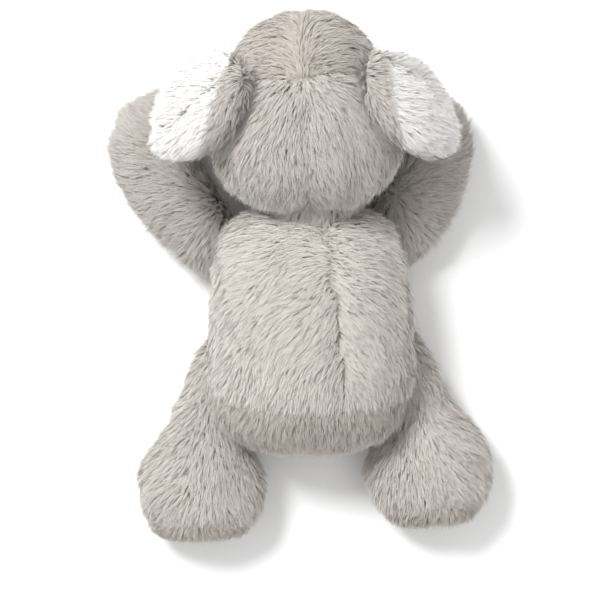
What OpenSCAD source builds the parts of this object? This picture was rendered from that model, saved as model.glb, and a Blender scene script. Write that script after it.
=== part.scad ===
// Stuffed elephant lying on its belly, with its arms raised beside its head.
// +Z is up, +Y runs from the seat to the crown, and the toy's left is -X.
// The origin is the middle of the flat patch of belly that it rests on.

/* [Torso] */
// Length of the torso from the neck to the seat
torso_len = 129; // [110:1:160]
// Width of the torso at the seat end
torso_w_seat = 111; // [92:1:128]
// Width of the torso at the neck end
torso_w_neck = 95; // [80:1:110]
// Thickness of the torso from belly to back
torso_h = 85; // [74:1:98]
// How much of the belly the floor presses flat
belly_press = 4; // [2:0.5:6]
// Turn of the centre back seam away from the middle at the seat
back_seam_turn = 21; // [0:1:30]

/* [Head] */
// Length of the head from the nape to the top of the forehead
head_len = 100; // [88:1:120]
// Width of the head at the cheeks
head_w_cheek = 102; // [90:1:116]
// Width of the head at the forehead
head_w_forehead = 70; // [60:1:82]
// Depth of the head from the face to the back
head_h = 82; // [72:1:94]
// Height of the middle of the head above the floor
head_z = 67; // [62:1:76]
// Gap that the neck filling bridges between the torso and the head
neck_gap = 4; // [3.5:0.5:10]
// Lean of the head towards the toy's left, in degrees
head_lean = 3; // [0:0.5:5]

/* [Trunk] */
// Length of the trunk from its root to its tip
trunk_len = 56; // [48:1:60]
// Radius of the trunk at its root
trunk_r_root = 13; // [11:0.5:14]
// Radius of the trunk at its tip
trunk_r_tip = 9.5; // [8:0.5:10.5]

/* [Limbs] */
// Half the width of an arm at the shoulder
arm_r = 17.5; // [14:0.5:19]
// Half the width of an arm at the elbow
elbow_r = 20; // [16:0.5:21]
// Half the width of a hand
hand_r = 18; // [15:0.5:19.5]
// Half the height of an arm
arm_h = 16; // [13:0.5:18]
// Radius of a leg at the hip
leg_r = 14.5; // [12:0.5:15.5]
// Half the width of a foot
foot_r = 33; // [27:0.5:35]
// Half the height of a foot
foot_h = 22; // [18:0.5:25]

/* [Ears] */
// How far the left ear's upper edge is drawn back from the lining, from 0 to 1
ear_open_left = 1; // [0:0.05:1]
// How far the right ear's upper edge is drawn back from the lining, from 0 to 1
ear_open_right = 0.1; // [0:0.05:1]

/* [Cloth] */
// Thickness of the plush cloth with the dense root of its pile
skin = 2.4; // [1.6:0.1:3]
// Thickness of one layer of an ear
ear_skin = 1.9; // [1.4:0.1:2.6]
// Space between the cloth and the stuffing
fill_gap = 2.6; // [2:0.1:3.5]
// Space between a limb and what it is pressed against
rub_gap = 2.2; // [1.5:0.1:3]
// Angle left between two panels at a seam
seam_gap = 0.5; // [0.3:0.1:1]

/* [Eyes] */
// Radius of an eye
eye_r = 4.5; // [3.5:0.5:6]
// Height of an eye's dome
eye_dome = 3; // [2:0.5:4]
// Radius of an eye's stem
stem_r = 1.5; // [1:0.1:2]
// Length of an eye's stem
stem_len = 8; // [6:0.5:10]

/* [Hidden] */

plush_grey = [0.79, 0.77, 0.745];
plush_shade = [0.70, 0.68, 0.65];
lining_white = [0.93, 0.925, 0.915];
fill_white = [0.96, 0.96, 0.95];

torso_zc = torso_h / 2 - belly_press;
torso_top = torso_len / 2;
neck_r = 11;
neck_at = [0, torso_top + neck_gap / 2, torso_zc + 12];
head_start = torso_top + neck_gap;
head_yc = head_start + head_len / 2;
// Where the back-of-head seam meets the forehead, as a share of the head's length
crown_at = 0.6;
washer_r = eye_r;
washer_t = 1.2;
// Smallest parameter kept clear of a form's two ends
end_clear = 0.004;

// ---- Curves and forms ----

function mix(a, b, t) = a + (b - a) * t;
function unit(v) = v / norm(v);
// Rounded end of a form: 1 in the middle, 0 at u = -1 and u = 1
function dome(u, n) = pow(max(0, 1 - pow(abs(u), n)), 1 / n);
// Parameter that bunches rings towards both ends
function bunched(t) = mix(t, (1 - cos(180 * t)) / 2, 0.7);
function bezier(p, t) = pow(1 - t, 3) * p[0] + 3 * pow(1 - t, 2) * t * p[1]
    + 3 * (1 - t) * t * t * p[2] + pow(t, 3) * p[3];
function bezier_dir(p, t) = unit(pow(1 - t, 2) * (p[1] - p[0]) + 2 * (1 - t) * t * (p[2] - p[1])
    + t * t * (p[3] - p[2]));
function on_segment(p, a, b) = a + (b - a) * max(0, min(1, (p - a) * (b - a) / ((b - a) * (b - a))));
// True where a point is inside the room that one of the limbs needs, at depth d below the cloth
function is_in(p, limbs, d) =
    len([for (m = limbs) if (norm(p - on_segment(p, m[0], m[1])) < m[2] + rub_gap + d) 1]) > 0;
// The share of the way from a form's middle c to its skin p that stays clear of the limbs
function clear_share(c, p, limbs, d, k = 0.3) = k >= 1 ? 1
    : is_in(mix(c, p, k + 0.05), limbs, d) ? halve(c, p, limbs, d, k, k + 0.05)
    : clear_share(c, p, limbs, d, k + 0.05);
function halve(c, p, limbs, d, low, high, n = 5) = n == 0 ? low
    : let (m = (low + high) / 2) is_in(mix(c, p, m), limbs, d) ? halve(c, p, limbs, d, low, m, n - 1)
    : halve(c, p, limbs, d, m, high, n - 1);
function pressed(c, p, limbs, d) = mix(c, p, min(1, clear_share(c, p, limbs, d)));
// Distance from the middle of a section whose corners are squarer than an ellipse's for n over 2
function section_r(a, n) = 1 / pow(pow(abs(cos(a)), n) + pow(abs(sin(a)), n), 1 / n);

// ---- Limbs: [spine's four points, radii across, radii up and down, bluntness of the ends] ----

// Where each limb starts under the torso
shoulder = [torso_w_neck / 2 - 8, torso_top - 30, 0];
hip = [torso_w_seat / 2 - 13, -torso_top + 57, 0];
arm_widths = [[0, arm_r], [0.25, arm_r + 2], [0.5, elbow_r], [0.75, hand_r + 1], [1, hand_r]];
arm_heights = [[0, arm_h - 1.5], [0.4, arm_h + 1], [1, arm_h]];
leg_widths = [[0, leg_r], [0.35, leg_r + 1.5], [0.5, leg_r + 4], [0.72, foot_r], [1, foot_r]];
leg_heights = [[0, leg_r], [0.45, leg_r + 0.5], [0.72, foot_h], [1, foot_h]];
// Each limb leaves its start at the height of its first radius, and the rest of its spine is given from there
function limb(at, side, bends, widths, heights, blunt) = let (s = [side * at.x, at.y, 0])
    [concat([s + [0, 0, heights[0][1] + 1]], [for (b = bends) s + [side * b.x, b.y, b.z]]), widths, heights, blunt];
arm_z = arm_h + 1;
foot_z = foot_h + 1;
arm_left = limb(shoulder, -1, [[53, 54, arm_z], [72, 83, arm_z], [13, 82, arm_z]],
    arm_widths, arm_heights, 4.2);
arm_right = limb(shoulder + [0, 6, 0], 1, [[23, 38, arm_z], [48, 77, arm_z], [8, 77, arm_z]],
    arm_widths, arm_heights, 4.2);
leg_left = limb(hip, -1, [[13, -29, leg_r], [19, -66, foot_z - 4], [18, -108, foot_z]],
    leg_widths, leg_heights, 4);
leg_right = limb(hip + [0, 5, 0], 1, [[13, -26, leg_r], [23, -60, foot_z - 4], [27, -105, foot_z]],
    leg_widths, leg_heights, 4);
trunk_root = [0, head_yc + 12, trunk_r_root + 4];
trunk_tip = [0, trunk_root.y - trunk_len, trunk_r_tip + 1];
trunk = [
    [trunk_root + [0, trunk_r_root, 0], trunk_root - [0, 5, 1], trunk_tip + [0, 28, 3], trunk_tip],
    [[0, trunk_r_root], [0.4, trunk_r_root - 1.5], [1, trunk_r_tip]],
    [[0, trunk_r_root], [0.4, trunk_r_root - 3], [1, trunk_r_tip]],
    3.2
];

// A limb's hinge: the middle of its round root, one radius in from the end of its spine
function root_of(limb) = limb[0][0] + unit(limb[0][1] - limb[0][0]) * limb[1][0][1];
function limb_press(limb, t, r) = [root_of(limb), bezier(limb[0], t), r];

torso_limbs = [
    limb_press(arm_left, 0.25, arm_r + 1), limb_press(arm_right, 0.25, arm_r + 1),
    limb_press(leg_left, 0.5, leg_r + 3), limb_press(leg_right, 0.5, leg_r + 3)
];
head_limbs = [[trunk_root, trunk_root + [0, -trunk_len / 2, -5], trunk_r_root]];

// Each form gives the point at t along it and angle a around it, at depth d below its skin.
// Angle 90 is up and 270 is down; t runs from 0 to 1.

torso_form = function(t, a, d)
    let (
        u = cos(180 * t),
        taper = (1 - u) / 2,
        w = mix(torso_w_neck, torso_w_seat, taper) / 2 - d,
        h = torso_h / 2 - d,
        n = 2.25 - 0.5 * pow(max(0, -sin(a)), 0.8),
        r = section_r(a, n),
        across = w * dome(u, mix(4.4, 3.1, taper)) * r * cos(a),
        raw = [across, u * (torso_len / 2 - d), torso_zc + h * dome(u, 2.7) * r * sin(a)],
        p = pressed([0, raw.y, torso_zc], raw, torso_limbs, d)
    )
    [p.x, p.y, max(d, p.z)];

head_form = function(t, a, d)
    let (
        u = -cos(180 * t),
        cheek = head_w_cheek / 2,
        brow = head_w_forehead / 2,
        w = lookup(u, [[-1, cheek], [-0.2, cheek - 2], [0.5, brow + 5], [1, brow]]) - d,
        h = lookup(u, [[-1, head_h / 2], [0, head_h / 2], [1, head_h / 2 - 7]]) - d,
        r = section_r(a, 2.1),
        across = w * dome(u, 2.7) * r * cos(a),
        raw = [across, head_yc + u * (head_len / 2 - d), head_z + h * dome(u, 2.5) * r * sin(a)]
    )
    pressed([0, raw.y, head_z], raw, head_limbs, d);

function limb_form(limb) = function(t, a, d)
    let (
        u = 2 * bunched(t) - 1,
        s = mix(0.5, bunched(t), 1 - d / 60),
        c = bezier(limb[0], s),
        along = bezier_dir(limb[0], s),
        across = unit(cross(along, [0, 0, 1])),
        up = cross(across, along),
        k = dome(u, limb[3]),
        p = c + across * (lookup(s, limb[1]) - d) * k * cos(a) + up * (lookup(s, limb[2]) - d) * k * sin(a)
    )
    [p.x, p.y, max(d + 0.4, p.z)];

// ---- Solids made from a form ----

function split(quads) = [for (q = quads) each [[q[0], q[1], q[2]], [q[0], q[2], q[3]]]];

// A panel of cloth: place(p, q) gives [t, a] for p and q from 0 to 1
module panel(form, place, rows, cols, thick = skin, depth = 0) {
    m = cols + 1;
    layer = (rows + 1) * m;
    points = [
        for (d = [depth, depth + thick], i = [0:rows], j = [0:cols])
            let (ta = place(i / rows, j / cols)) form(ta[0], ta[1], d)
    ];
    function id(l, i, j) = l * layer + i * m + j;
    cells = [for (i = [0:rows - 1], j = [0:cols - 1]) [i, j]];
    polyhedron(points, split(concat(
        [for (c = cells) let (i = c[0], j = c[1])
            [id(0, i, j), id(0, i, j + 1), id(0, i + 1, j + 1), id(0, i + 1, j)]],
        [for (c = cells) let (i = c[0], j = c[1])
            [id(1, i, j), id(1, i + 1, j), id(1, i + 1, j + 1), id(1, i, j + 1)]],
        [for (i = [0:rows - 1]) [id(0, i, 0), id(0, i + 1, 0), id(1, i + 1, 0), id(1, i, 0)]],
        [for (i = [0:rows - 1]) [id(0, i, cols), id(1, i, cols), id(1, i + 1, cols), id(0, i + 1, cols)]],
        [for (j = [0:cols - 1]) [id(0, 0, j), id(1, 0, j), id(1, 0, j + 1), id(0, 0, j + 1)]],
        [for (j = [0:cols - 1]) [id(0, rows, j), id(0, rows, j + 1), id(1, rows, j + 1), id(1, rows, j)]]
    )));
}

// A cup of cloth over a form's far end, from edge(a) to the end
module end_panel(form, edge, rows, cols, thick = skin) {
    layer = rows * cols + 1;
    points = [
        for (d = [0, thick]) each concat(
            [for (i = [0:rows - 1], j = [0:cols - 1]) let (a = 360 * j / cols) form(mix(edge(a), 1, i / rows), a, d)],
            [form(1, 0, d)]
        )
    ];
    function id(l, i, j) = l * layer + (i == rows ? rows * cols : i * cols + j % cols);
    cells = [for (i = [0:rows - 2], j = [0:cols - 1]) [i, j]];
    polyhedron(points, concat(
        split([for (c = cells) let (i = c[0], j = c[1])
            [id(0, i, j), id(0, i, j + 1), id(0, i + 1, j + 1), id(0, i + 1, j)]]),
        split([for (c = cells) let (i = c[0], j = c[1])
            [id(1, i, j), id(1, i + 1, j), id(1, i + 1, j + 1), id(1, i, j + 1)]]),
        [for (j = [0:cols - 1]) [id(0, rows - 1, j), id(0, rows - 1, j + 1), id(0, rows, 0)]],
        [for (j = [0:cols - 1]) [id(1, rows - 1, j), id(1, rows, 0), id(1, rows - 1, j + 1)]],
        split([for (j = [0:cols - 1]) [id(0, 0, j), id(1, 0, j), id(1, 0, j + 1), id(0, 0, j + 1)]])
    ));
}

// The stuffing of a form: one closed solid at a depth below the skin
module filling(form, rows, cols, depth = skin + fill_gap) {
    points = concat(
        [form(0, 0, depth)],
        [for (i = [1:rows - 1], j = [0:cols - 1]) form(i / rows, 360 * j / cols, depth)],
        [form(1, 0, depth)]
    );
    last = (rows - 1) * cols + 1;
    function id(i, j) = 1 + (i - 1) * cols + j % cols;
    polyhedron(points, concat(
        [for (j = [0:cols - 1]) [0, id(1, j + 1), id(1, j)]],
        split([for (i = [1:rows - 2], j = [0:cols - 1]) [id(i, j), id(i, j + 1), id(i + 1, j + 1), id(i + 1, j)]]),
        [for (j = [0:cols - 1]) [last, id(rows - 1, j), id(rows - 1, j + 1)]]
    ));
}

// ---- Torso ----

// Angle of the centre back seam, which wanders to the toy's right towards the seat
function back_seam(t) = 90 - 7 - (back_seam_turn - 7) * t;
// Where the seat seam crosses the torso, further up at the flanks
function seat_edge(a) = 0.735 - 0.05 * pow(cos(a), 2);
flank_left = 188;
flank_right = -8;

module torso_panel(from, to, cols) {
    panel(torso_form, function(p, q)
        let (a0 = from(p) + seam_gap, a1 = to(p) - seam_gap, a = mix(a0, a1, q))
        [mix(end_clear, seat_edge(a) - 0.004, p), a], 13, cols);
}
module back_left_panel() {
    color(plush_grey) torso_panel(function(p) back_seam(p), function(p) flank_left, 9);
}
module back_right_panel() {
    color(plush_grey) torso_panel(function(p) flank_right, function(p) back_seam(p), 9);
}
module belly_panel() {
    color(plush_grey) torso_panel(function(p) flank_left, function(p) flank_right + 360, 18);
}
module seat_panel() {
    color(plush_shade) end_panel(torso_form, function(a) seat_edge(a), 6, 32);
}
module torso_stuffing() {
    color(fill_white) filling(torso_form, 22, 36);
}
// A lens of filling, so that the head can rock on it
module neck_stuffing() {
    half = neck_gap / 2 - 0.8;
    bulge = (neck_r * neck_r + half * half) / (2 * half);
    color(fill_white) translate(neck_at) rotate([90, 0, 0]) intersection() {
        translate([0, 0, half - bulge]) sphere(r = bulge, $fn = 96);
        translate([0, 0, bulge - half]) sphere(r = bulge, $fn = 96);
    }
}

// ---- Head ----

module head_pose() {
    translate(neck_at) rotate([0, 0, head_lean]) translate(-neck_at) children();
}
module head_panel(from, to, t0, t1, rows, cols) {
    head_pose() panel(head_form, function(p, q)
        [mix(t0, t1, p), mix(from + seam_gap, to - seam_gap, q)], rows, cols);
}
cheek_left = 192;
cheek_right = -12;
module head_back_left_panel() {
    color(plush_grey) head_panel(90, cheek_left, end_clear, crown_at, 9, 9);
}
module head_back_right_panel() {
    color(plush_grey) head_panel(cheek_right, 90, end_clear, crown_at, 9, 9);
}
module forehead_panel() {
    color(plush_shade) head_panel(cheek_right, cheek_left, crown_at + 0.004, 1 - end_clear, 7, 16);
}
module face_half(from, to) {
    head_panel(from, to, end_clear, 1 - end_clear, 14, 8);
}
// An eye sits at this share of the head's length and this angle down from level
eye_t = 0.7;
eye_down = 42;
module eye_place(side) {
    a = side < 0 ? 180 + eye_down : -eye_down;
    p = head_form(eye_t, a, 0);
    along = head_form(eye_t + 0.01, a, 0) - p;
    round = head_form(eye_t, a + 1, 0) - p;
    out = unit(cross(round, along)) * -1;
    head_pose() translate(p) rotate([0, acos(out.z), atan2(out.y, out.x)]) children();
}
module face_left_panel() {
    color(plush_grey) difference() {
        face_half(cheek_left, 270);
        eye_place(-1) cylinder(r = stem_r + 0.1, h = 4 * skin, center = true, $fn = 32);
    }
}
module face_right_panel() {
    color(plush_grey) difference() {
        face_half(270, 360 + cheek_right);
        eye_place(1) cylinder(r = stem_r + 0.1, h = 4 * skin, center = true, $fn = 32);
    }
}
module head_stuffing() {
    color(fill_white) difference() {
        head_pose() filling(head_form, 16, 28);
        for (side = [-1, 1])
            eye_place(side) translate([0, 0, -stem_len - 0.5]) cylinder(r = washer_r + 0.4, h = stem_len, $fn = 32);
    }
}
module eye(side) {
    eye_place(side) translate([0, 0, 0.4]) {
        bulge = (eye_r * eye_r + eye_dome * eye_dome) / (2 * eye_dome);
        intersection() {
            translate([0, 0, eye_dome - bulge]) sphere(r = bulge, $fn = 48);
            cylinder(r = eye_r, h = eye_dome, $fn = 48);
        }
        translate([0, 0, -stem_len]) cylinder(r = stem_r, h = stem_len + 0.2, $fn = 32);
    }
}
module eye_washer(side) {
    eye_place(side) translate([0, 0, -skin - washer_t - 1.2]) difference() {
        cylinder(r = washer_r, h = washer_t, $fn = 48);
        translate([0, 0, -1]) cylinder(r = stem_r + 0.05, h = washer_t + 2, $fn = 32);
    }
}

// ---- Limbs and trunk ----

// Half of a limb's skin, between two angles and from one end to the share t1
module limb_half(limb, from, to, t1, rows, cols) {
    panel(limb_form(limb), function(p, q)
        [mix(end_clear, t1, p), mix(from + seam_gap * 2, to - seam_gap * 2, q)], rows, cols);
}
module limb_fill(limb, rows) {
    color(fill_white) filling(limb_form(limb), rows, 16);
}
hand_end = 1 - end_clear;
sole_at = 0.86;
module arm_panel(limb, from) {
    color(plush_grey) limb_half(limb, from, from + 180, hand_end, 16, 8);
}
module leg_panel(limb, from) {
    color(plush_grey) limb_half(limb, from, from + 180, sole_at - 0.005, 14, 9);
}
module sole(limb) {
    color(plush_shade) end_panel(limb_form(limb), function(a) sole_at, 4, 20);
}
module trunk_panel(from) {
    color(plush_grey) head_pose() limb_half(trunk, from, from + 180, 0.93, 11, 7);
}
module trunk_tip_panel() {
    color(plush_shade) head_pose() end_panel(limb_form(trunk), function(a) 0.94, 3, 16);
}
module trunk_stuffing() {
    head_pose() limb_fill(trunk, 12);
}

// ---- Ears: one cupped sheet each, over the side of the head ----

// Rows run from the base on the head to the outer end. Each goes from the upper rim to the lower rim, and
// has two places for the upper rim: over the lower one, and drawn back from it
ear_sheet = [
    [[-33, 147, 112], [-33, 141, 111], [-24, 114, 113], [-44, 109, 93], [-37, 145, 94]],
    [[-49, 145, 113], [-46, 133, 114], [-40, 78, 125], [-59, 74, 78], [-52, 154, 72]],
    [[-67, 129, 103], [-63, 110, 105], [-63, 74, 112], [-68, 72, 71], [-76, 138, 59]],
    [[-79, 114, 86], [-79, 108, 85], [-83, 96, 90], [-78, 96, 67], [-75, 112, 61]]
];
function ear_form(open) = let (rows = [for (r = ear_sheet) [mix(r[0], r[1], open), r[2], r[3], r[4]]])
    function(u, v, d)
        let (
            e = 0.01,
            at = function(u, v) bezier([for (row = rows) bezier(row, u)], v),
            du = at(u + e, v) - at(u - e, v),
            dv = at(u, v + e) - at(u, v - e)
        )
        at(u, v) + unit(cross(du, dv)) * d;
// The ears stay level with each other when the head leans, over the middle of the leaning head
ear_lean = -sin(head_lean) * head_len * 0.6;
module ear_place(side) {
    translate([ear_lean, head_yc - 118.5, head_z - 67]) mirror([max(0, side), 0, 0]) children();
}
module ear_layer(side, depth) {
    form = ear_form(side < 0 ? ear_open_left : ear_open_right);
    ear_place(side) panel(form, function(p, q) [p, q], 14, 12, ear_skin, depth);
}
module ear_back(side) {
    color(plush_grey) ear_layer(side, 0);
}
module ear_lining(side) {
    color(lining_white) ear_layer(side, ear_skin + 0.15);
}

back_left_panel();
back_right_panel();
belly_panel();
seat_panel();
torso_stuffing();
neck_stuffing();
head_back_left_panel();
head_back_right_panel();
forehead_panel();
face_left_panel();
face_right_panel();
head_stuffing();
color("black") eye(-1);  // eye_left
color("black") eye(1);  // eye_right
color("white") eye_washer(-1);  // eye_washer_left
color("white") eye_washer(1);  // eye_washer_right
trunk_panel(0);  // trunk_upper_panel
trunk_panel(180);  // trunk_under_panel
trunk_tip_panel();
trunk_stuffing();
ear_back(-1);  // ear_left_back
ear_lining(-1);  // ear_left_lining
ear_back(1);  // ear_right_back
ear_lining(1);  // ear_right_lining
arm_panel(arm_left, 0);  // arm_left_outer_panel
arm_panel(arm_left, 180);  // arm_left_inner_panel
limb_fill(arm_left, 16);  // arm_left_stuffing
arm_panel(arm_right, 0);  // arm_right_outer_panel
arm_panel(arm_right, 180);  // arm_right_inner_panel
limb_fill(arm_right, 16);  // arm_right_stuffing
leg_panel(leg_left, 0);  // leg_left_outer_panel
leg_panel(leg_left, 180);  // leg_left_inner_panel
sole(leg_left);  // sole_left
limb_fill(leg_left, 16);  // leg_left_stuffing
leg_panel(leg_right, 0);  // leg_right_outer_panel
leg_panel(leg_right, 180);  // leg_right_inner_panel
sole(leg_right);  // sole_right
limb_fill(leg_right, 16);  // leg_right_stuffing
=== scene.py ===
import bpy
import math
import numpy as np
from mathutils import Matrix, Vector
from mathutils.bvhtree import BVHTree
from mathutils.kdtree import KDTree


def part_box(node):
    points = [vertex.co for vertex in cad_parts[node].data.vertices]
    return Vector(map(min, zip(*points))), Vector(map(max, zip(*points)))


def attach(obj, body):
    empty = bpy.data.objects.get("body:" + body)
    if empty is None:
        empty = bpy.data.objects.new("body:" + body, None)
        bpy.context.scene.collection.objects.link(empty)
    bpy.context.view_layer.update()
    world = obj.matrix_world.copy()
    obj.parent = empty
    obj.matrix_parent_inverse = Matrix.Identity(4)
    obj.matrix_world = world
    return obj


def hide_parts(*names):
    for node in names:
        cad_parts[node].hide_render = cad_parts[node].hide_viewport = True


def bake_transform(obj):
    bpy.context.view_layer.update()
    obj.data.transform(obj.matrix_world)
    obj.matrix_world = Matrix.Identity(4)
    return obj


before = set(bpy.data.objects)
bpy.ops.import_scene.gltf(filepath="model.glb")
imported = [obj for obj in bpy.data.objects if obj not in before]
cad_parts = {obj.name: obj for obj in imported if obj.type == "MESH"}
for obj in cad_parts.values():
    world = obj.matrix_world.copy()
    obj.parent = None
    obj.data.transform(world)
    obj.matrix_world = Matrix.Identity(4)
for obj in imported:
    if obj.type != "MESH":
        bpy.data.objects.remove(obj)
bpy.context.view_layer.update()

MM = 0.001
CLOTH_FRAMES = 20
FLOOR_GAP = 0.0002      # metres that the cloth stays above the floor
PILE_FLOOR = 0.3        # mm that a blade stays above the floor
BLADE_WIDTH = 0.34      # mm
BLADES_PER_TUFT = 8
SEAM_DENT = 1.1         # mm that a seam is drawn in
SEAM_REACH = 2.4        # mm over which the cloth falls toward a seam
scene = bpy.context.scene


# ---------------------------------------------------------------- small helpers

def unit(v):
    return v / np.maximum(np.linalg.norm(v, axis=-1, keepdims=True), 1e-12)


def smooth(x, low, high):
    t = np.clip((x - low) / (high - low), 0, 1)
    return t * t * (3 - 2 * t)


def waves(p, size, seed, n=9):
    """Smooth noise from about -1 to 1 at points p, with features about size across."""
    rng = np.random.default_rng(seed)
    k = unit(rng.normal(size=(n, 3))) * (2 * math.pi / size) * rng.uniform(0.6, 1.4, (n, 1)) / 1.6
    return np.sin(p @ k.T + rng.uniform(0, 6.28, n)).sum(1) * math.sqrt(2 / n) * 0.6


def link(name, me):
    ob = bpy.data.objects.new(name, me)
    scene.collection.objects.link(ob)
    return ob


def coords(me):
    co = np.zeros(len(me.vertices) * 3, np.float32)
    me.vertices.foreach_get("co", co)
    return co.reshape(-1, 3).astype(float)


def normals(me):
    n = np.zeros(len(me.vertices) * 3, np.float32)
    me.vertex_normals.foreach_get("vector", n)
    return n.reshape(-1, 3).astype(float)


def set_coords(me, co):
    me.vertices.foreach_set("co", np.ascontiguousarray(co, np.float32).ravel())
    me.update()


def evaluated(ob):
    """The object's mesh with its modifiers applied, as a new mesh."""
    dg = bpy.context.evaluated_depsgraph_get()
    return bpy.data.meshes.new_from_object(ob.evaluated_get(dg))


def largest_part(me):
    """Keeps only the connected part that is furthest across."""
    n = len(me.vertices)
    edges = np.zeros(len(me.edges) * 2, np.int32)
    me.edges.foreach_get("vertices", edges)
    edges = edges.reshape(-1, 2)
    label = np.arange(n)
    while True:
        low = np.minimum(label[edges[:, 0]], label[edges[:, 1]])
        new = label.copy()
        np.minimum.at(new, edges[:, 0], low)
        np.minimum.at(new, edges[:, 1], low)
        new = new[new]
        if (new == label).all():
            break
        label = new
    co = coords(me)
    best = max(set(label.tolist()), key=lambda k: np.linalg.norm(np.ptp(co[label == k], axis=0)))
    keep = label == best
    index = np.cumsum(keep) - 1
    faces = [[int(index[v]) for v in f.vertices] for f in me.polygons if keep[f.vertices[0]]]
    out = bpy.data.meshes.new(me.name)
    out.from_pydata(co[keep].tolist(), [], faces)
    out.update()
    return out


# ---------------------------------------------------------------- stuffed forms

def joined(name, nodes):
    verts, faces, at = [], [], 0
    for n in nodes:
        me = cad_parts[n].data
        verts += [tuple(v.co) for v in me.vertices]
        faces += [[i + at for i in f.vertices] for f in me.polygons]
        at += len(me.vertices)
    me = bpy.data.meshes.new(name)
    me.from_pydata(verts, [], faces)
    me.update()
    return me


def remeshed(me, voxel):
    ob = link("tmp_remesh", me)
    m = ob.modifiers.new("Remesh", "REMESH")
    m.mode = "VOXEL"
    m.voxel_size = voxel * MM
    out = largest_part(evaluated(ob))
    bpy.data.objects.remove(ob)
    return out


def relaxed(me, rounds, factor=0.5):
    """Smooths without shrinking: each smoothing step is followed by one that pushes back."""
    n = len(me.vertices)
    edges = np.zeros(len(me.edges) * 2, np.int32)
    me.edges.foreach_get("vertices", edges)
    edges = edges.reshape(-1, 2)
    count = np.maximum(np.bincount(edges.ravel(), minlength=n), 1)[:, None]
    co = coords(me)
    for i in range(rounds * 2):
        total = np.zeros_like(co)
        np.add.at(total, edges[:, 0], co[edges[:, 1]])
        np.add.at(total, edges[:, 1], co[edges[:, 0]])
        co += (total / count - co) * (factor if i % 2 == 0 else -factor * 1.03)
    set_coords(me, co)


def panel_of_faces(me, panels):
    """For each face, the number of the CAD panel whose surface is nearest."""
    trees = []
    for n in panels:
        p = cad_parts[n].data
        faces = [f.vertices for f in p.polygons]
        trees.append(BVHTree.FromPolygons([v.co for v in p.vertices], faces))
    found = []
    for f in me.polygons:
        c = f.center
        near = [t.find_nearest(c)[3] for t in trees]
        found.append(int(np.argmin(near)))
    return np.array(found)


def seam_distance(me, face_panel):
    """For each vertex, how far it is from the nearest seam, in mm."""
    n = len(me.vertices)
    low, high = np.full(n, 99), np.full(n, -1)
    for f, p in zip(me.polygons, face_panel):
        for v in f.vertices:
            low[v] = min(low[v], p)
            high[v] = max(high[v], p)
    on_seam = np.flatnonzero(high > low)
    if not len(on_seam):
        return np.full(n, 99.0)
    co = coords(me)
    tree = KDTree(len(on_seam))
    for k, i in enumerate(on_seam):
        tree.insert(co[i], k)
    tree.balance()
    return np.array([tree.find(p)[2] for p in co]) / MM


def stuffed(name, panels, filling, voxel=3.2, cap=2.2, pressure=4.0):
    """A closed, puffed cloth form over the CAD panels and their filling: cloth simulation
    swells it between its seams, and the movement is capped. Returns the mesh and its panel numbers."""
    me = remeshed(joined(name, panels + filling), voxel)
    relaxed(me, 6)
    face_panel = panel_of_faces(me, panels)
    start = coords(me)
    seam = seam_distance(me, face_panel)
    ob = link("tmp_cloth", me.copy())
    pin = ob.vertex_groups.new(name="pin")
    for i in np.flatnonzero(seam < 0.1):
        pin.add([int(i)], 1.0, "REPLACE")
    m = ob.modifiers.new("Cloth", "CLOTH")
    s = m.settings
    s.quality = 5
    s.mass = 0.2
    s.tension_stiffness = s.compression_stiffness = 12
    s.bending_stiffness = 0.6
    s.use_pressure = True
    s.uniform_pressure_force = pressure
    s.effector_weights.gravity = 0
    s.vertex_group_mass = "pin"
    s.pin_stiffness = 1.0
    m.collision_settings.use_collision = False
    m.point_cache.frame_start, m.point_cache.frame_end = 1, CLOTH_FRAMES
    for i in range(1, CLOTH_FRAMES + 1):
        scene.frame_set(i)
    puffed = coords(evaluated(ob))
    scene.frame_set(1)
    bpy.data.objects.remove(ob)
    if len(puffed) == len(start) and np.isfinite(puffed).all():
        move = puffed - start
        far = np.linalg.norm(move, axis=1, keepdims=True)
        move *= np.minimum(1, cap * MM / np.maximum(far, 1e-12))
        start = start + move
    start[:, 2] = np.maximum(start[:, 2], FLOOR_GAP)
    set_coords(me, start)
    relaxed(me, 2)
    # Each seam is drawn in, and the filling lies a little unevenly.
    seam = seam_distance(me, face_panel)
    co, n = coords(me), normals(me)
    dent = SEAM_DENT * np.exp(-(seam / SEAM_REACH) ** 2)
    lumps = 0.55 * waves(co / MM, 26, 5) + 0.25 * waves(co / MM, 11, 6)
    lift = lumps - dent
    lift *= smooth(co[:, 2] / MM, 0.6, 5)
    co += n * (lift * MM)[:, None]
    co[:, 2] = np.maximum(co[:, 2], FLOOR_GAP)
    set_coords(me, co)
    ob = link("tmp_subdiv", me)
    m = ob.modifiers.new("Subdivision", "SUBSURF")
    m.levels = m.render_levels = 1
    finer = evaluated(ob)
    bpy.data.objects.remove(ob)
    return finer, np.repeat(face_panel, [len(f.vertices) for f in me.polygons])


# ---------------------------------------------------------------- pile

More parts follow.
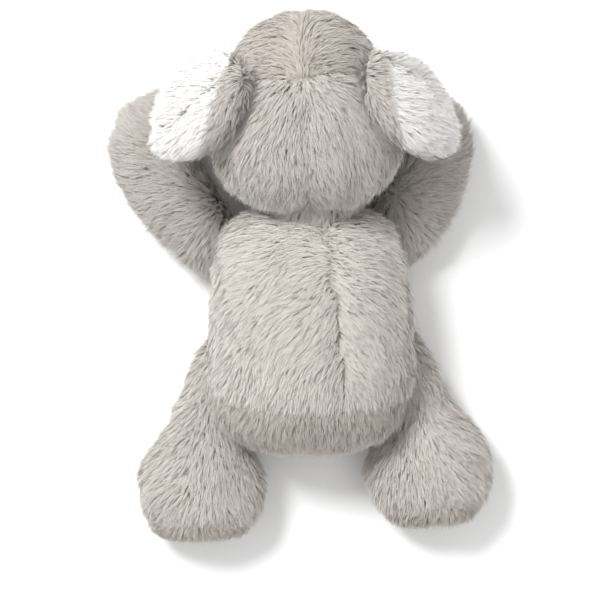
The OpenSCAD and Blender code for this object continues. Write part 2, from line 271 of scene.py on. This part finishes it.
def sample(co, nrm, seam, tris, per_mm2, rng):
    """Roots spread evenly over the triangles: place, normal and distance to the seam."""
    a, b, c = co[tris[:, 0]], co[tris[:, 1]], co[tris[:, 2]]
    area = np.linalg.norm(np.cross(b - a, c - a), axis=1) / 2
    count = max(1, int(round(area.sum() * per_mm2)))
    ends = np.cumsum(area)
    at = (np.arange(count) + rng.uniform(0, 1, count)) / count * ends[-1]
    t = np.minimum(np.searchsorted(ends, at), len(tris) - 1)
    u, v = rng.uniform(0, 1, count), rng.uniform(0, 1, count)
    flip = u + v > 1
    u[flip], v[flip] = 1 - u[flip], 1 - v[flip]
    w = np.stack([1 - u - v, u, v], 1)[:, :, None]
    place = (co[tris[t]] * w).sum(1)
    n = unit((nrm[tris[t]] * w).sum(1))
    return place, n, (seam[tris[t]] * w[:, :, 0]).sum(1)


def pile(co, nrm, seam, tris, look, rng):
    """Blades of pile in mm. They stand in tufts whose tips draw together, and lean the way the
    look combs them. Returns vertices, normals and UVs, five of each to a blade."""
    seed, per_tuft = look["seed"], BLADES_PER_TUFT
    p, n, sd = sample(co, nrm, seam, tris, look["tufts"] * (1), rng)
    k = len(p)
    comb = look["comb"](p, n)
    comb = unit(comb - n * (comb * n).sum(1, keepdims=True))
    side = np.cross(n, comb)
    # Locks swing together over a few millimetres, and each tuft a little on its own.
    swing = np.radians(13) * waves(p, 17, seed) + np.radians(8) * rng.normal(size=k)
    comb = comb * np.cos(swing)[:, None] + side * np.sin(swing)[:, None]
    near = smooth(sd, 0.5, 7)
    length = look["length"] * (0.78 + 0.22 * near)
    length *= 1 + 0.13 * waves(p, 9, seed + 1) + rng.normal(0, 0.10, k)
    if "trim" in look:
        length *= look["trim"](p)
    length = np.clip(length, 1.2, None)
    lift0 = np.radians(50 + 5 * waves(p, 13, seed + 2) + rng.normal(0, 5, k))
    lift1 = np.radians(9 + 6 * waves(p, 8, seed + 3) + rng.normal(0, 5, k))
    d0 = comb * np.cos(lift0)[:, None] + n * np.sin(lift0)[:, None]
    d1 = comb * np.cos(lift1)[:, None] + n * np.sin(lift1)[:, None]
    tone = 0.5 + 0.12 * waves(p, 24, seed + 4) + 0.08 * waves(p, 7, seed + 5)
    tone = tone + rng.normal(0, 0.06, k)
    if "pale" in look:
        tone += look["pale"](p)

    rep = np.repeat(np.arange(k), per_tuft)
    m = len(rep)
    side = np.cross(n, comb)
    r = rng.normal(0, 0.7, (m, 2))
    off = comb[rep] * r[:, :1] + side[rep] * r[:, 1:]
    long = (length[rep] * rng.uniform(0.72, 1.12, m))[:, None]
    clump = rng.uniform(0.1, 0.55, m)[:, None]
    root = p[rep] + off - n[rep] * 0.25
    mid = p[rep] + off * (1 - 0.45 * clump) + d0[rep] * long * 0.5
    tip = p[rep] + off * (1 - clump) + d0[rep] * long * 0.5 + d1[rep] * long * 0.5
    tip += rng.normal(0, 0.14, (m, 3)) * long * 0.35
    d = unit(tip - root)
    across = unit(np.cross(d, n[rep]))
    turn = rng.normal(0, 0.6, m)[:, None]
    across = unit(across * np.cos(turn) + np.cross(d, across) * np.sin(turn))
    w = BLADE_WIDTH * rng.uniform(0.75, 1.2, m)[:, None]
    v = np.stack([root - across * w * 0.5, root + across * w * 0.5,
                  mid - across * w * 0.42, mid + across * w * 0.42, tip], 1)
    v[:, :, 2] = np.maximum(v[:, :, 2], PILE_FLOOR)
    own = np.cross(across, d)
    own *= np.sign((own * n[rep]).sum(1, keepdims=True) + 1e-9)
    soft = unit(n[rep] * 0.85 + own * 0.26 + d * 0.1)
    nn = np.repeat(soft[:, None, :], 5, 1)
    u = np.clip(tone[rep] + rng.normal(0, 0.11, m), 0.02, 0.98)
    uv = np.stack([np.repeat(u[:, None], 5, 1), np.tile([0.02, 0.02, 0.5, 0.5, 0.98], (m, 1))], 2)
    uv[:, [0, 2], 0] -= 0.012
    uv[:, [1, 3], 0] += 0.012
    return v.reshape(-1, 3), nn.reshape(-1, 3), uv.reshape(-1, 2)


def plush_piece(name, body, node, co, nrm, seam, quads, look, material, blended=False):
    """One panel of plush: its cloth and its pile in one mesh."""
    rng = np.random.default_rng(look["seed"])
    tris = np.concatenate([quads[:, [0, 1, 2]], quads[:, [0, 2, 3]]])
    bv, bn, buv = pile(co, nrm, seam, tris, look, rng)
    used = np.unique(quads)
    index = np.zeros(len(co), int)
    index[used] = np.arange(len(used))
    sv, sn = co[used], nrm[used]
    faces = index[quads]
    m = len(bv) // 5
    base = len(sv)
    blade = base + np.arange(m)[:, None] * 5
    blade_loops = (blade + np.array([0, 1, 3, 2, 2, 3, 4])).ravel()
    loops = np.concatenate([faces.ravel(), blade_loops])
    blade_starts = len(faces) * 4 + (np.arange(m)[:, None] * 7 + [0, 4]).ravel()
    starts = np.concatenate([np.arange(len(faces)) * 4, blade_starts])
    verts = np.concatenate([sv, bv]) * MM
    me = bpy.data.meshes.new(name)
    me.vertices.add(len(verts))
    me.vertices.foreach_set("co", verts.astype(np.float32).ravel())
    me.loops.add(len(loops))
    me.loops.foreach_set("vertex_index", loops.astype(np.int32))
    me.polygons.add(len(starts))
    me.polygons.foreach_set("loop_start", starts.astype(np.int32))
    me.polygons.foreach_set("use_smooth", np.ones(len(starts), bool))
    me.update(calc_edges=True)
    # The cloth under the pile takes colour from near the pile's root, which is painted shade, with a
    # tone that wanders.
    ground = np.stack([np.clip(0.5 + 0.3 * waves(sv, 7, 3), 0.03, 0.97),
                       np.clip(0.10 + 0.05 * waves(sv, 3, 4), 0.02, 0.2)], 1)
    uv = np.concatenate([ground, buv])[loops]
    layer = me.uv_layers.new(name="OFBake")
    layer.uv.foreach_set("vector", uv.astype(np.float32).ravel())
    me.normals_split_custom_set_from_vertices(np.concatenate([sn, bn]).astype(np.float32))
    me.materials.append(material)
    ob = link(name, me)
    if not blended:
        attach(ob, body)
    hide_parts(node)
    return ob


# ---------------------------------------------------------------- materials

def nodes_of(name):
    mat = bpy.data.materials.new(name)
    mat.use_nodes = True
    nt = mat.node_tree
    nt.nodes.clear()
    out = nt.nodes.new("ShaderNodeOutputMaterial")
    shader = nt.nodes.new("ShaderNodeBsdfPrincipled")
    nt.links.new(shader.outputs["BSDF"], out.inputs["Surface"])
    return mat, nt, shader


def ramp(nt, stops, source):
    r = nt.nodes.new("ShaderNodeValToRGB")
    r.color_ramp.interpolation = "LINEAR"
    while len(r.color_ramp.elements) > 1:
        r.color_ramp.elements.remove(r.color_ramp.elements[-1])
    for i, (at, colour) in enumerate(stops):
        e = r.color_ramp.elements[0] if i == 0 else r.color_ramp.elements.new(at)
        e.position = at
        e.color = (*colour, 1)
    nt.links.new(source, r.inputs[0])
    return r.outputs[0]


def mixed(nt, kind, a, b, amount=1.0):
    m = nt.nodes.new("ShaderNodeMix")
    m.data_type = "RGBA"
    m.blend_type = kind
    m.inputs[0].default_value = amount
    nt.links.new(a, m.inputs[6])
    nt.links.new(b, m.inputs[7])
    return m.outputs[2]


def plush(name, root, mid, tip, tone=(0.80, 1.0, 1.12), rough=0.85, sheen=0.35):
    """Pile: dark at the root and pale at the tip, with each blade's own tone across the map. The dark
    root is painted shade deep in the pile.
    """
    mat, nt, shader = nodes_of(name)
    uv = nt.nodes.new("ShaderNodeUVMap")
    uv.uv_map = "OFBake"
    parts = nt.nodes.new("ShaderNodeSeparateXYZ")
    nt.links.new(uv.outputs[0], parts.inputs[0])
    # Darker toward the root: painted shade deep in the pile.
    along = ramp(nt, [(0.0, root), (0.45, mid), (0.85, tip), (1.0, tip)], parts.outputs[1])
    low, middling, high = tone
    own = ramp(nt, [(0.0, (low,) * 3), (0.5, (middling,) * 3),
                    (1.0, (high, high * 0.995, high * 0.985))], parts.outputs[0])
    stretch = nt.nodes.new("ShaderNodeVectorMath")
    stretch.operation = "MULTIPLY"
    stretch.inputs[1].default_value = (60, 5, 1)
    nt.links.new(uv.outputs[0], stretch.inputs[0])
    noise = nt.nodes.new("ShaderNodeTexNoise")
    noise.inputs["Scale"].default_value = 1.0
    noise.inputs["Detail"].default_value = 3.0
    nt.links.new(stretch.outputs[0], noise.inputs["Vector"])
    fleck = ramp(nt, [(0.3, (0.93, 0.925, 0.92)), (0.7, (1.05, 1.05, 1.05))], noise.outputs[0])
    colour = mixed(nt, "MULTIPLY", mixed(nt, "MULTIPLY", along, own), fleck)
    nt.links.new(colour, shader.inputs["Base Color"])
    shader.inputs["Roughness"].default_value = rough
    shader.inputs["Specular IOR Level"].default_value = 0.22
    shader.inputs["Sheen Weight"].default_value = sheen
    shader.inputs["Sheen Roughness"].default_value = 0.5
    return mat


def grey(name, share):
    """The grey plush at a share of its full paleness; the lower shares are painted shade for parts that
    lie in shadow.
    """
    stops = ((0.47, 0.43, 0.385), (0.62, 0.58, 0.535), (0.735, 0.70, 0.655))
    return plush(name, *[tuple(c * share for c in stop) for stop in stops], tone=(0.92, 1.0, 1.06))


PLUSH = grey("plush_pile", 0.98)
# Darker copies of the same grey plush: painted shade for the head, the arms and the legs, which lay
# more in shadow.
HEAD_PAINTED_SHADE = grey("plush_pile_head_painted_shade", 0.87)
LIMB_PAINTED_SHADE = grey("plush_pile_limb_painted_shade", 0.80)
LEG_PAINTED_SHADE = grey("plush_pile_leg_painted_shade", 0.91)
# A darker, warmer copy of the plush: painted shade for the seat, the soles and the trunk's tip, which
# face away from the light, and for the forehead, whose pile looks darker against its nap.
PAINTED_SHADE = plush("plush_pile_painted_shade", (0.37, 0.33, 0.29), (0.485, 0.44, 0.395), (0.58, 0.535, 0.49),
              tone=(0.92, 1.0, 1.06))
LINING = plush("lining_pile", (0.78, 0.765, 0.745), (0.865, 0.855, 0.84), (0.91, 0.90, 0.885),
               tone=(0.97, 1.0, 1.02))


def fibre(name, colour):
    """Loose polyester filling: pale, with fine matted strands."""
    mat, nt, shader = nodes_of(name)
    where = nt.nodes.new("ShaderNodeTexCoord")
    noise = nt.nodes.new("ShaderNodeTexNoise")
    noise.inputs["Scale"].default_value = 220
    noise.inputs["Detail"].default_value = 6
    noise.inputs["Distortion"].default_value = 2.5
    nt.links.new(where.outputs["Object"], noise.inputs["Vector"])
    low = tuple(c * 0.82 for c in colour)
    strands = ramp(nt, [(0.35, low), (0.65, colour)], noise.outputs[0])
    nt.links.new(strands, shader.inputs["Base Color"])
    bump = nt.nodes.new("ShaderNodeBump")
    bump.inputs["Strength"].default_value = 0.6
    bump.inputs["Distance"].default_value = 0.0015
    nt.links.new(noise.outputs[0], bump.inputs["Height"])
    nt.links.new(bump.outputs[0], shader.inputs["Normal"])
    shader.inputs["Roughness"].default_value = 0.95
    return mat


def moulded(name, colour, rough, spread, coat=0.0):
    """Moulded plastic with faint flow marks and an uneven polish."""
    mat, nt, shader = nodes_of(name)
    where = nt.nodes.new("ShaderNodeTexCoord")
    noise = nt.nodes.new("ShaderNodeTexNoise")
    noise.inputs["Scale"].default_value = 160
    noise.inputs["Detail"].default_value = 4
    nt.links.new(where.outputs["Object"], noise.inputs["Vector"])
    low = tuple(c * 0.8 for c in colour)
    high = tuple(min(1, c * 1.15) for c in colour)
    nt.links.new(ramp(nt, [(0.3, low), (0.7, high)], noise.outputs[0]), shader.inputs["Base Color"])
    polish = nt.nodes.new("ShaderNodeMapRange")
    polish.inputs["To Min"].default_value = rough
    polish.inputs["To Max"].default_value = rough + spread
    nt.links.new(noise.outputs[0], polish.inputs["Value"])
    nt.links.new(polish.outputs[0], shader.inputs["Roughness"])
    shader.inputs["Coat Weight"].default_value = coat
    return mat


FIBRE = fibre("polyester_fibre", (0.88, 0.875, 0.86))
EYE = moulded("eye_plastic", (0.012, 0.010, 0.009), 0.06, 0.05, coat=0.6)
WASHER = moulded("washer_plastic", (0.80, 0.79, 0.77), 0.35, 0.15)


# ---------------------------------------------------------------- combing

def toward(*v):
    v = np.array(v, float)
    return lambda p, n: np.repeat(v[None], len(p), 0)


def clear_of(x, y, z, near, far):
    """A share of the pile's length that falls to nothing around a place."""
    return lambda p: smooth(np.linalg.norm(p - np.array([x, y, z]), axis=1), near, far)


def comb_back(side):
    def comb(p, n):
        t = (p[:, 1] + 66) / 132
        angle = np.radians(np.interp(t, [0, 0.25, 0.55, 0.8, 1], [6, 18, 44, 68, 84]))
        return np.stack([side * np.sin(angle), -np.cos(angle), np.full(len(p), -0.15)], 1)
    return comb


def comb_from(x, y, z, bias=(0, 0, 0), level=1.0):
    def comb(p, n):
        v = (p - np.array([x, y, z])) * np.array([1, 1, level])
        return unit(v) + np.array(bias)
    return comb


def comb_forehead(p, n):
    x = p[:, 0] + 4
    side = np.tanh(x / 12)
    return np.stack([side, 0.35 * (1 - side ** 2) - 0.013 * np.abs(x), -0.012 * np.abs(x)], 1)


def comb_leg(side):
    def comb(p, n):
        out = np.clip((np.abs(p[:, 0]) - 50) / 28, -0.8, 1.2)
        return np.stack([side * out * 0.7, np.full(len(p), -1.0), np.full(len(p), -0.25)], 1)
    return comb


# ---------------------------------------------------------------- the pieces

def build(name, body, panels, filling, looks, fill=0.7, sort=None, **how):
    """Puffs a form and covers each of its panels with pile; sort may move faces from panel to panel."""
    me, face_panel = stuffed(name, panels, filling, **how)
    co, nrm = coords(me) / MM, normals(me)
    if sort:
        face_panel = sort(np.array([tuple(f.center) for f in me.polygons]) / MM,
                          np.array([tuple(f.normal) for f in me.polygons]), face_panel)
    seam = seam_distance(me, face_panel)
    quads = np.array([(list(f.vertices) + [f.vertices[-1]])[:4] for f in me.polygons])
    for i, panel in enumerate(panels):
        look, material = looks[i]
        plush_piece(panel + "_plush", body, panel, co, nrm, seam, quads[face_panel == i],
                    look, material)


def look(seed, comb, length=9.5, tufts=0.58, **more):
    return {"seed": seed, "comb": comb, "length": length, "tufts": tufts, **more}


def middle(node):
    low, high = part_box(node)
    return (np.array(low) + np.array(high)) / 2 / MM


back_of_head = np.array(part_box("head_back_left_panel")[1]) / MM
crown = middle("forehead_panel") * [1, 0, 0] + back_of_head * [0, 1, 1]

build("torso", "torso", ["back_left_panel", "back_right_panel", "belly_panel", "seat_panel"],
      ["torso_stuffing"], [
    (look(11, comb_back(-1)), PLUSH),
    (look(12, comb_back(1)), PLUSH),
    (look(13, toward(0, -1, 0), length=8, tufts=0.30), PLUSH),
    (look(14, toward(0, -1, -0.7)), PAINTED_SHADE),
], fill=0.8)


def crown_tuft(p):
    return 0.45 * np.exp(-(np.linalg.norm(p - crown, axis=1) / 6) ** 2)


def around_eye(side):
    return clear_of(*middle("eye_" + side), 4.5, 12)


def ear_turn(s, root):
    """The grey gathers at an ear's root; past it the white lining is rolled out over the upper side."""
    def sort(p, n, panel):
        out = (p[:, 0] - root[0]) * s + 0.25 * (p[:, 1] - root[1]) + 1.5 * waves(p, 9, 77)
        panel = np.where(out < 11, 0, panel)
        return np.where((out > 12) & (n[:, 2] > -0.1), 1, panel)
    return sort


x, y, z = crown
build("head", "head", ["head_back_left_panel", "head_back_right_panel", "forehead_panel",
                       "face_left_panel", "face_right_panel"], ["head_stuffing"], [
    (look(21, comb_from(x + 3, y + 4, z, (-0.15, -0.75, 0)), length=10, pale=crown_tuft), HEAD_PAINTED_SHADE),
    (look(22, comb_from(x - 3, y + 4, z, (0.15, -0.75, 0)), length=10, pale=crown_tuft), HEAD_PAINTED_SHADE),
    (look(23, comb_forehead, length=8.5, pale=crown_tuft), PAINTED_SHADE),
    (look(24, comb_from(x, y - 8, 20, (0, 0, 0.2)), length=6, tufts=0.5,
          trim=around_eye("left")), HEAD_PAINTED_SHADE),
    (look(25, comb_from(x, y - 8, 20, (0, 0, 0.2)), length=6, tufts=0.5,
          trim=around_eye("right")), HEAD_PAINTED_SHADE),
], fill=0.85)

for side, s in (("left", -1), ("right", 1)):
    crotch = (s * 38, 80, 20)
    build("arm_" + side, "arm_" + side, [f"arm_{side}_outer_panel", f"arm_{side}_inner_panel"],
          [f"arm_{side}_stuffing"], [
        (look(31 + s, comb_from(*crotch, level=0.3)), LIMB_PAINTED_SHADE),
        (look(34 + s, comb_from(*crotch, level=0.3), length=8, tufts=0.30), LIMB_PAINTED_SHADE),
    ], fill=0.7, voxel=2.8)
    build("leg_" + side, "leg_" + side,
          [f"leg_{side}_outer_panel", f"leg_{side}_inner_panel", "sole_" + side],
          [f"leg_{side}_stuffing"], [
        (look(41 + s, comb_leg(s)), LEG_PAINTED_SHADE),
        (look(44 + s, comb_leg(s), length=8, tufts=0.30), LEG_PAINTED_SHADE),
        (look(47 + s, toward(0, -0.3, -1), length=7), PAINTED_SHADE),
    ], fill=0.75, voxel=2.8)
    ear = np.array(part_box(f"ear_{side}_back")) / MM
    root = np.array([ear[1 if s < 0 else 0][0], ear[:, 1].mean() + 13, ear[1][2] - 6])
    build("ear_" + side, "ear_" + side, [f"ear_{side}_back", f"ear_{side}_lining"], [], [
        (look(51 + s, comb_from(*root, (s * 0.2, -0.35, 0)), length=8.5), HEAD_PAINTED_SHADE),
        (look(54 + s, comb_from(*root, (s * 0.2, 0.1, 0)), length=8.5,
              trim=clear_of(*root, 12, 26)), LINING),
    ], fill=0.3, voxel=1.5, cap=0.6, pressure=1.0, sort=ear_turn(s, root))

build("trunk", "trunk", ["trunk_upper_panel", "trunk_under_panel", "trunk_tip_panel"],
      ["trunk_stuffing"], [
    (look(61, toward(0, -1, 0), length=6, tufts=0.5), PLUSH),
    (look(62, toward(0, -1, 0), length=5, tufts=0.30), PLUSH),
    (look(63, toward(0, -0.6, -1), length=5, tufts=0.5), PAINTED_SHADE),
], fill=0.8, voxel=2.4, cap=1.2)


def neck_sleeve():
    """The gathered plush where the head is sewn on: a short tube between torso and head."""
    around, along = 72, 18
    neck = middle("neck_stuffing")
    a = np.linspace(0, 2 * math.pi, around, endpoint=False)[None]
    t = np.linspace(-1, 1, along)[:, None]
    wide = 27 - 3 * np.cos(t * math.pi / 2)
    gather = 1 + 0.02 * np.sin(9 * a + 1) + 0.015 * np.sin(17 * a)
    co = np.stack([neck[0] + wide * gather * np.cos(a) + 0 * t, neck[1] + 11 * t + 0 * a,
                   neck[2] + 5 * t + wide * 0.72 * gather * np.sin(a)], 2).reshape(-1, 3)
    i, j = np.meshgrid(np.arange(along - 1), np.arange(around), indexing="ij")
    k = (j + 1) % around
    here, there = i * around, (i + 1) * around
    quads = np.stack([here + j, there + j, there + k, here + k], 2).reshape(-1, 4)
    normal = unit((co - neck) * [1, 0, 1 / 0.52])
    no_seam = np.full(len(co), 30.0)
    ob = plush_piece("neck_plush", "torso", "neck_stuffing", co, normal, no_seam, quads,
                     look(71, toward(0, -1, 0), length=8), PLUSH, blended=True)
    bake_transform(ob)


neck_sleeve()

for name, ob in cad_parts.items():
    if ob.hide_render:
        continue
    ob.data.materials.clear()
    kind = WASHER if "washer" in name else EYE if name.startswith("eye") else FIBRE
    ob.data.materials.append(kind)


# ---------------------------------------------------------------- stage, light and camera

floor_mesh = bpy.data.meshes.new("floor")
floor_mesh.from_pydata([(-4, -4, 0), (4, -4, 0), (4, 4, 0), (-4, 4, 0)], [], [(0, 1, 2, 3)])
floor = link("floor", floor_mesh)
mat, nt, shader = nodes_of("pale_floor")
where = nt.nodes.new("ShaderNodeTexCoord")
grain = nt.nodes.new("ShaderNodeTexNoise")
grain.inputs["Scale"].default_value = 3
nt.links.new(where.outputs["Object"], grain.inputs["Vector"])
pale = ramp(nt, [(0, (0.93, 0.93, 0.93)), (1, (0.95, 0.95, 0.95))], grain.outputs[0])
nt.links.new(pale, shader.inputs["Base Color"])
shader.inputs["Roughness"].default_value = 0.9
shader.inputs["Specular IOR Level"].default_value = 0.1
floor_mesh.materials.append(mat)

world = bpy.data.worlds.new("studio")
scene.world = world
world.use_nodes = True
sky = world.node_tree.nodes["Background"]
sky.inputs[0].default_value = (1, 1, 1, 1)
sky.inputs[1].default_value = 0.7


def softbox(name, place, aim, size, power):
    data = bpy.data.lights.new(name, "AREA")
    data.shape = "DISK"
    data.size = size
    data.energy = power
    ob = bpy.data.objects.new(name, data)
    scene.collection.objects.link(ob)
    ob.location = place
    ob.rotation_euler = (Vector(aim) - Vector(place)).to_track_quat("-Z", "Y").to_euler()
    return ob


softbox("key", (-0.85, 0.95, 1.7), (0, 0, 0.03), 0.75, 42)
softbox("fill", (0.6, -0.4, 1.9), (0, 0, 0.03), 1.6, 6)

cam = bpy.data.cameras.new("camera")
cam.lens = 180
cam.sensor_width = 36
camera = bpy.data.objects.new("camera", cam)
scene.collection.objects.link(camera)
reach = 0.3282 * cam.lens / cam.sensor_width
camera.location = (-0.0055, 0.016, 0.05 + reach)
camera.rotation_euler = (0, 0, 0)
scene.camera = camera
scene.view_settings.view_transform = "Standard"
